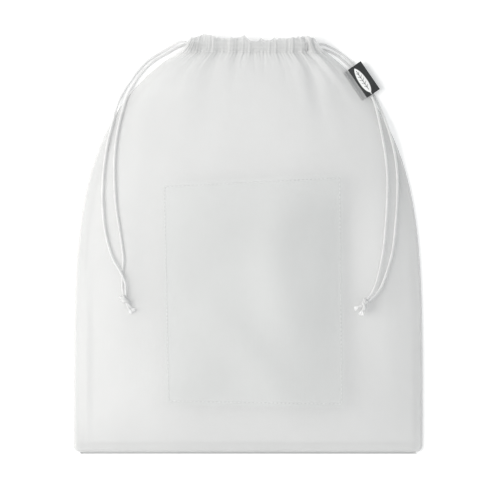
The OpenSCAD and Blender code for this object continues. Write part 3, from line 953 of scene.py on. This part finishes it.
# ---- print patch
PATCH_X = (PATCH_LO[0] + 0.4, PATCH_HI[0] - 0.4)
PATCH_U = (PATCH_LO[1] - Y0 + 0.4, PATCH_HI[1] - Y0 - 0.4)
PATCH_GAP = 1.0  # below the front cloth
PATCH_STITCH_IN = 0.018  # share of the patch's size, inward from its edge
PATCH_STITCH_STEP = 3.4


def patch_place(s, t):
    """Place of the shares s across and t up the patch, which was sewn on a little askew."""
    left, right = PATCH_X[0] + 0.3 - 3.9 * t, PATCH_X[1] + 2.3 - 1.8 * t
    low, high = PATCH_U[0] - 2.0 - 3.0 * s, PATCH_U[1] - 3.7 + 8.0 * s
    return left + (right - left) * s, low + (high - low) * t


def build_patch():
    columns_x, rows_y = 71, 91
    s, t = np.meshgrid(np.linspace(0, 1, columns_x), np.linspace(0, 1, rows_y))
    x, u = patch_place(s, t)
    c = (x - mid_x(u)) / half_w(u)
    z = front_z(c, u) - PATCH_GAP
    # its own hem is two layers thick
    hem = np.minimum.reduce([s * 150, (1 - s) * 150, t * 190, (1 - t) * 190])
    z += 0.14 * smooth((3.2 - hem) / 1.6)
    points = stack(x, u + Y0, z).reshape(-1, 3)
    obj = make_mesh("print_patch_sheet", points, grid_faces(rows_y, columns_x), PATCH)
    store_uv(obj, stack(x, u).reshape(-1, 2))
    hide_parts("print_patch")
    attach(obj, "bag")

    def place(s, t):
        px, pu = patch_place(s, t)
        return np.array([px, pu + Y0, surface_z(px, pu) + 0.1])

    near, far = PATCH_STITCH_IN, 1 - PATCH_STITCH_IN
    corners = [(near, near), (far, near), (far, far), (near, far)]
    parts = []
    for k in range(4):
        a, b = np.array(corners[k]), np.array(corners[(k + 1) % 4])
        count = int(np.linalg.norm((b - a) * np.array([152, 190])) / PATCH_STITCH_STEP)
        for i in range(count):
            centre = place(*(a + (b - a) * (i + 0.5) / count))
            ahead = place(*(a + (b - a) * (i + 0.6) / count))
            parts.append(stitch(centre, unit(ahead - centre)))
    _, obj = stitch_mesh("patch_stitches", parts, SOFT_THREAD)
    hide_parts("patch_stitching")
    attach(obj, "bag")


# ---- label
LABEL_MID = np.array([93.6, 136.8, 0.0])  # middle of the line where it is sewn in
LABEL_OUT = heading(34.5)  # outward from the seam
LABEL_ALONG = np.array([-LABEL_OUT[1], LABEL_OUT[0], 0.0])
LABEL_L = 29.0
LABEL_W = 13.6
HINGE_Z = 5.4
TAPE_GAP = 0.06  # between the two layers of the folded tape
TAPE = 0.34  # its thickness
LABEL_TOP = HINGE_Z + TAPE_GAP / 2 + TAPE
LEAF_OUT = 5.5  # the leaf's midrib, outward from the seam


def label_point(out, along, z):
    out, along, z = np.broadcast_arrays(out, along, z)
    return (LABEL_MID + out[..., None] * LABEL_OUT + along[..., None] * LABEL_ALONG
            + z[..., None] * UP)


def sag(out, along):
    """Gentle warp of the flap."""
    return 0.10 * np.sin(along * 0.21 + 0.6) * (out / LABEL_W) + 0.05 * (out / LABEL_W) ** 2


def tape_skin(r, sign):
    """One skin of the folded tape, from a layer's sewn end round the fold to the other layer's."""
    flat = LABEL_W - TAPE_GAP / 2 - TAPE
    turn = sign * np.linspace(math.pi / 2, -math.pi / 2, 11)
    return ([(o, sign * r) for o in np.linspace(0.15, flat, 16)]
            + [(flat + r * math.cos(a), r * math.sin(a)) for a in turn[1:-1]]
            + [(o, -sign * r) for o in np.linspace(flat, 0.15, 16)])


def build_label_flap():
    outer, inner = tape_skin(TAPE_GAP / 2 + TAPE, 1), tape_skin(TAPE_GAP / 2, -1)
    section = np.array(outer + inner)
    end = LABEL_L / 2
    along = np.r_[-end, -end + 0.3, np.linspace(-end + 0.8, end - 0.8, 24), end - 0.3, end]
    out = section[None, :, 0] + 0 * along[:, None]
    a = along[:, None] + 0 * out
    z = HINGE_Z + section[None, :, 1] + sag(out, a)
    grid = label_point(out, a, z)
    rows, cols = grid.shape[:2]
    faces = grid_faces(rows, cols, wrap_cols=True)
    half = len(outer)
    # close both edges between the outer skin and the inner one, which runs back along it
    for row, flip in ((0, False), (rows - 1, True)):
        base = row * cols
        for k in range(half - 1):
            m = cols - 1 - k
            quad = [base + k, base + k + 1, base + m - 1, base + m]
            faces.append(quad[::-1] if flip else quad)
    obj = make_mesh("label_folded_tape", grid.reshape(-1, 3), faces, BLACK)
    store_uv(obj, stack(out, a).reshape(-1, 2))
    for poly in obj.data.polygons[-2 * (half - 1):]:
        poly.use_smooth = False
    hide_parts("label_flap")
    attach(obj, "label")


def build_label_leaf():
    """A plain leaf woven in white, with its stem and veins."""
    s = np.linspace(-1, 1, 41)
    width = 3.45 * (1 - np.abs(s) ** 2.4) ** 0.75 * (1 - 0.12 * s)
    t = np.linspace(-1, 1, 13)
    la = -0.1 + s[:, None] * 12.4 + 0 * t[None, :]
    lo = LEAF_OUT + t[None, :] * width[:, None]
    lz = LABEL_TOP + 0.04 + 0.10 * np.sqrt(np.maximum(1 - t[None, :] ** 4, 0)) + sag(lo, la)
    leaf = label_point(lo, la, lz)
    stem_a = np.linspace(-13.9, -11.6, 8)
    stem_o = LEAF_OUT + 0.25 * np.sin(stem_a)
    stem = label_point(stem_o, stem_a, LABEL_TOP + 0.06 + sag(stem_o, stem_a))
    points, faces = join_parts([(leaf.reshape(-1, 3), grid_faces(len(s), len(t))),
                                tube(stem, 0.34, 8)])
    obj = make_mesh("label_leaf", points, faces, WHITE)
    store_uv(obj, points[:, :2])
    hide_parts("label_motif")
    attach(obj, "label")

    # a midrib and slanting pairs of veins, each from one place outward and along to another
    veins = [(0.0, -9.4, 0.0, 9.6)]
    for k in range(5):
        start = -7.0 + 3.2 * k
        reach = 2.1 * (1 - ((start + 1.4) / 12) ** 2)
        veins += [(0.0, start, reach, start + 2.0), (0.0, start, -reach, start + 2.0)]
    parts = []
    q = np.linspace(0, 1, 7)
    for o0, a0, o1, a1 in veins:
        vo, va = LEAF_OUT + o0 + (o1 - o0) * q, a0 + (a1 - a0) * q
        vein = label_point(vo, va, LABEL_TOP + 0.15 + sag(vo, va))
        parts.append(tube(vein, 0.15 + 0.05 * (o1 == 0), 6))
    points, faces = join_parts(parts)
    obj = make_mesh("label_leaf_veins", points, faces, BLACK)
    store_uv(obj, points[:, :2])
    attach(obj, "label")


def build_label_tab():
    """The part sewn into the seam, just under the mesh, and the stitches through it."""
    out = np.linspace(-4.9, -0.9, 9)
    a = np.linspace(-LABEL_L / 2, LABEL_L / 2, 30)
    oo, aa = np.meshgrid(out, a)
    flat = label_point(oo, aa, 0 * oo)
    u = flat[..., 1] - Y0
    cloth = front_z(np.minimum((flat[..., 0] - mid_x(u)) / half_w(u), 0.985), u)
    rows, cols = len(a), len(out)
    points, faces = join_parts([
        (label_point(oo, aa, cloth - 0.24 + level).reshape(-1, 3), grid_faces(rows, cols, flip=up))
        for level, up in ((0.16, True), (-0.16, False))])
    n = rows * cols
    rim = (list(range(cols)) + [i * cols + cols - 1 for i in range(1, rows)]
           + [(rows - 1) * cols + j for j in range(cols - 2, -1, -1)]
           + [i * cols for i in range(rows - 2, 0, -1)])
    for k in range(len(rim)):
        p, q = rim[k], rim[(k + 1) % len(rim)]
        faces.append([p, q, n + q, n + p])
    obj = make_mesh("label_sewn_end", points, faces, BLACK)
    store_uv(obj, np.vstack([stack(oo, aa).reshape(-1, 2)] * 2))
    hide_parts("label_tab")
    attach(obj, "right_mouth_end")

    parts = []
    for k in range(-4, 5):
        at = LABEL_MID - 3.4 * LABEL_OUT + 3.1 * k * LABEL_ALONG
        at[2] = surface_z(at[0], at[1] - Y0) + 0.15
        parts.append(stitch(at, LABEL_ALONG))
    _, obj = stitch_mesh("label_stitches", parts)
    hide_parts("label_stitching")
    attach(obj, "right_mouth_end")


build_panels()
build_casings()
for build in (build_cuff, build_side_seam, build_side_overlock):
    for side in SIGN:
        build(side)
build_bottom_seam()
build_casing_stitches()
build_patch()
build_label_flap()
build_label_leaf()
build_label_tab()


# ---- floor and light
FLOOR_HALF = 3000.0  # millimetres
FLOOR_GLOW = 0.2
# Name, place and size in metres, power, colour; each points at the middle of the bag
LIGHTS = [
    ("key", (-0.98, 0.05, 0.80), 1.0, 13.2, (1.0, 0.985, 0.955)),
    ("fill", (1.2, -0.3, 1.9), 1.8, 2.5, (0.94, 0.985, 1.0)),
]
SKY = ((0.975, 0.995, 1.0, 1), 0.66)  # colour and strength


def build_stage():
    g = Graph("floor_paper")
    place = g.node("TexCoord").outputs["Object"]
    grain = g.noise(place, 60.0, 3.0)
    colour = g.mix_colour(grain, (0.95, 0.95, 0.95, 1), (0.97, 0.97, 0.97, 1))
    paper = g.node("BsdfDiffuse", None, Color=colour, Roughness=1.0)
    glow = g.node("Emission", None, Color=(1, 1, 1, 1), Strength=FLOOR_GLOW)
    both = g.node("AddShader", None, i0=paper.outputs[0], i1=glow.outputs[0])
    material = g.finish(both.outputs[0])
    points = [(x * FLOOR_HALF, y * FLOOR_HALF, 0) for x, y in ((-1, -1), (1, -1), (1, 1), (-1, 1))]
    floor = make_mesh("floor", points, [[0, 1, 2, 3]], material, smooth_shade=False)


def area_light(name, location, size, power, colour):
    light = bpy.data.lights.new(name, "AREA")
    light.shape = "DISK"
    light.size = size
    light.energy = power
    light.color = colour
    obj = bpy.data.objects.new(name, light)
    bpy.context.scene.collection.objects.link(obj)
    obj.location = location
    obj.rotation_euler = (-Vector(location)).to_track_quat("-Z", "Y").to_euler()


def build_light():
    for light in LIGHTS:
        area_light(*light)
    world = bpy.data.worlds.new("studio")
    bpy.context.scene.world = world
    world.use_nodes = True
    background = world.node_tree.nodes["Background"]
    background.inputs[0].default_value, background.inputs[1].default_value = SKY


build_stage()
build_light()
bpy.context.scene.view_settings.view_transform = "Standard"
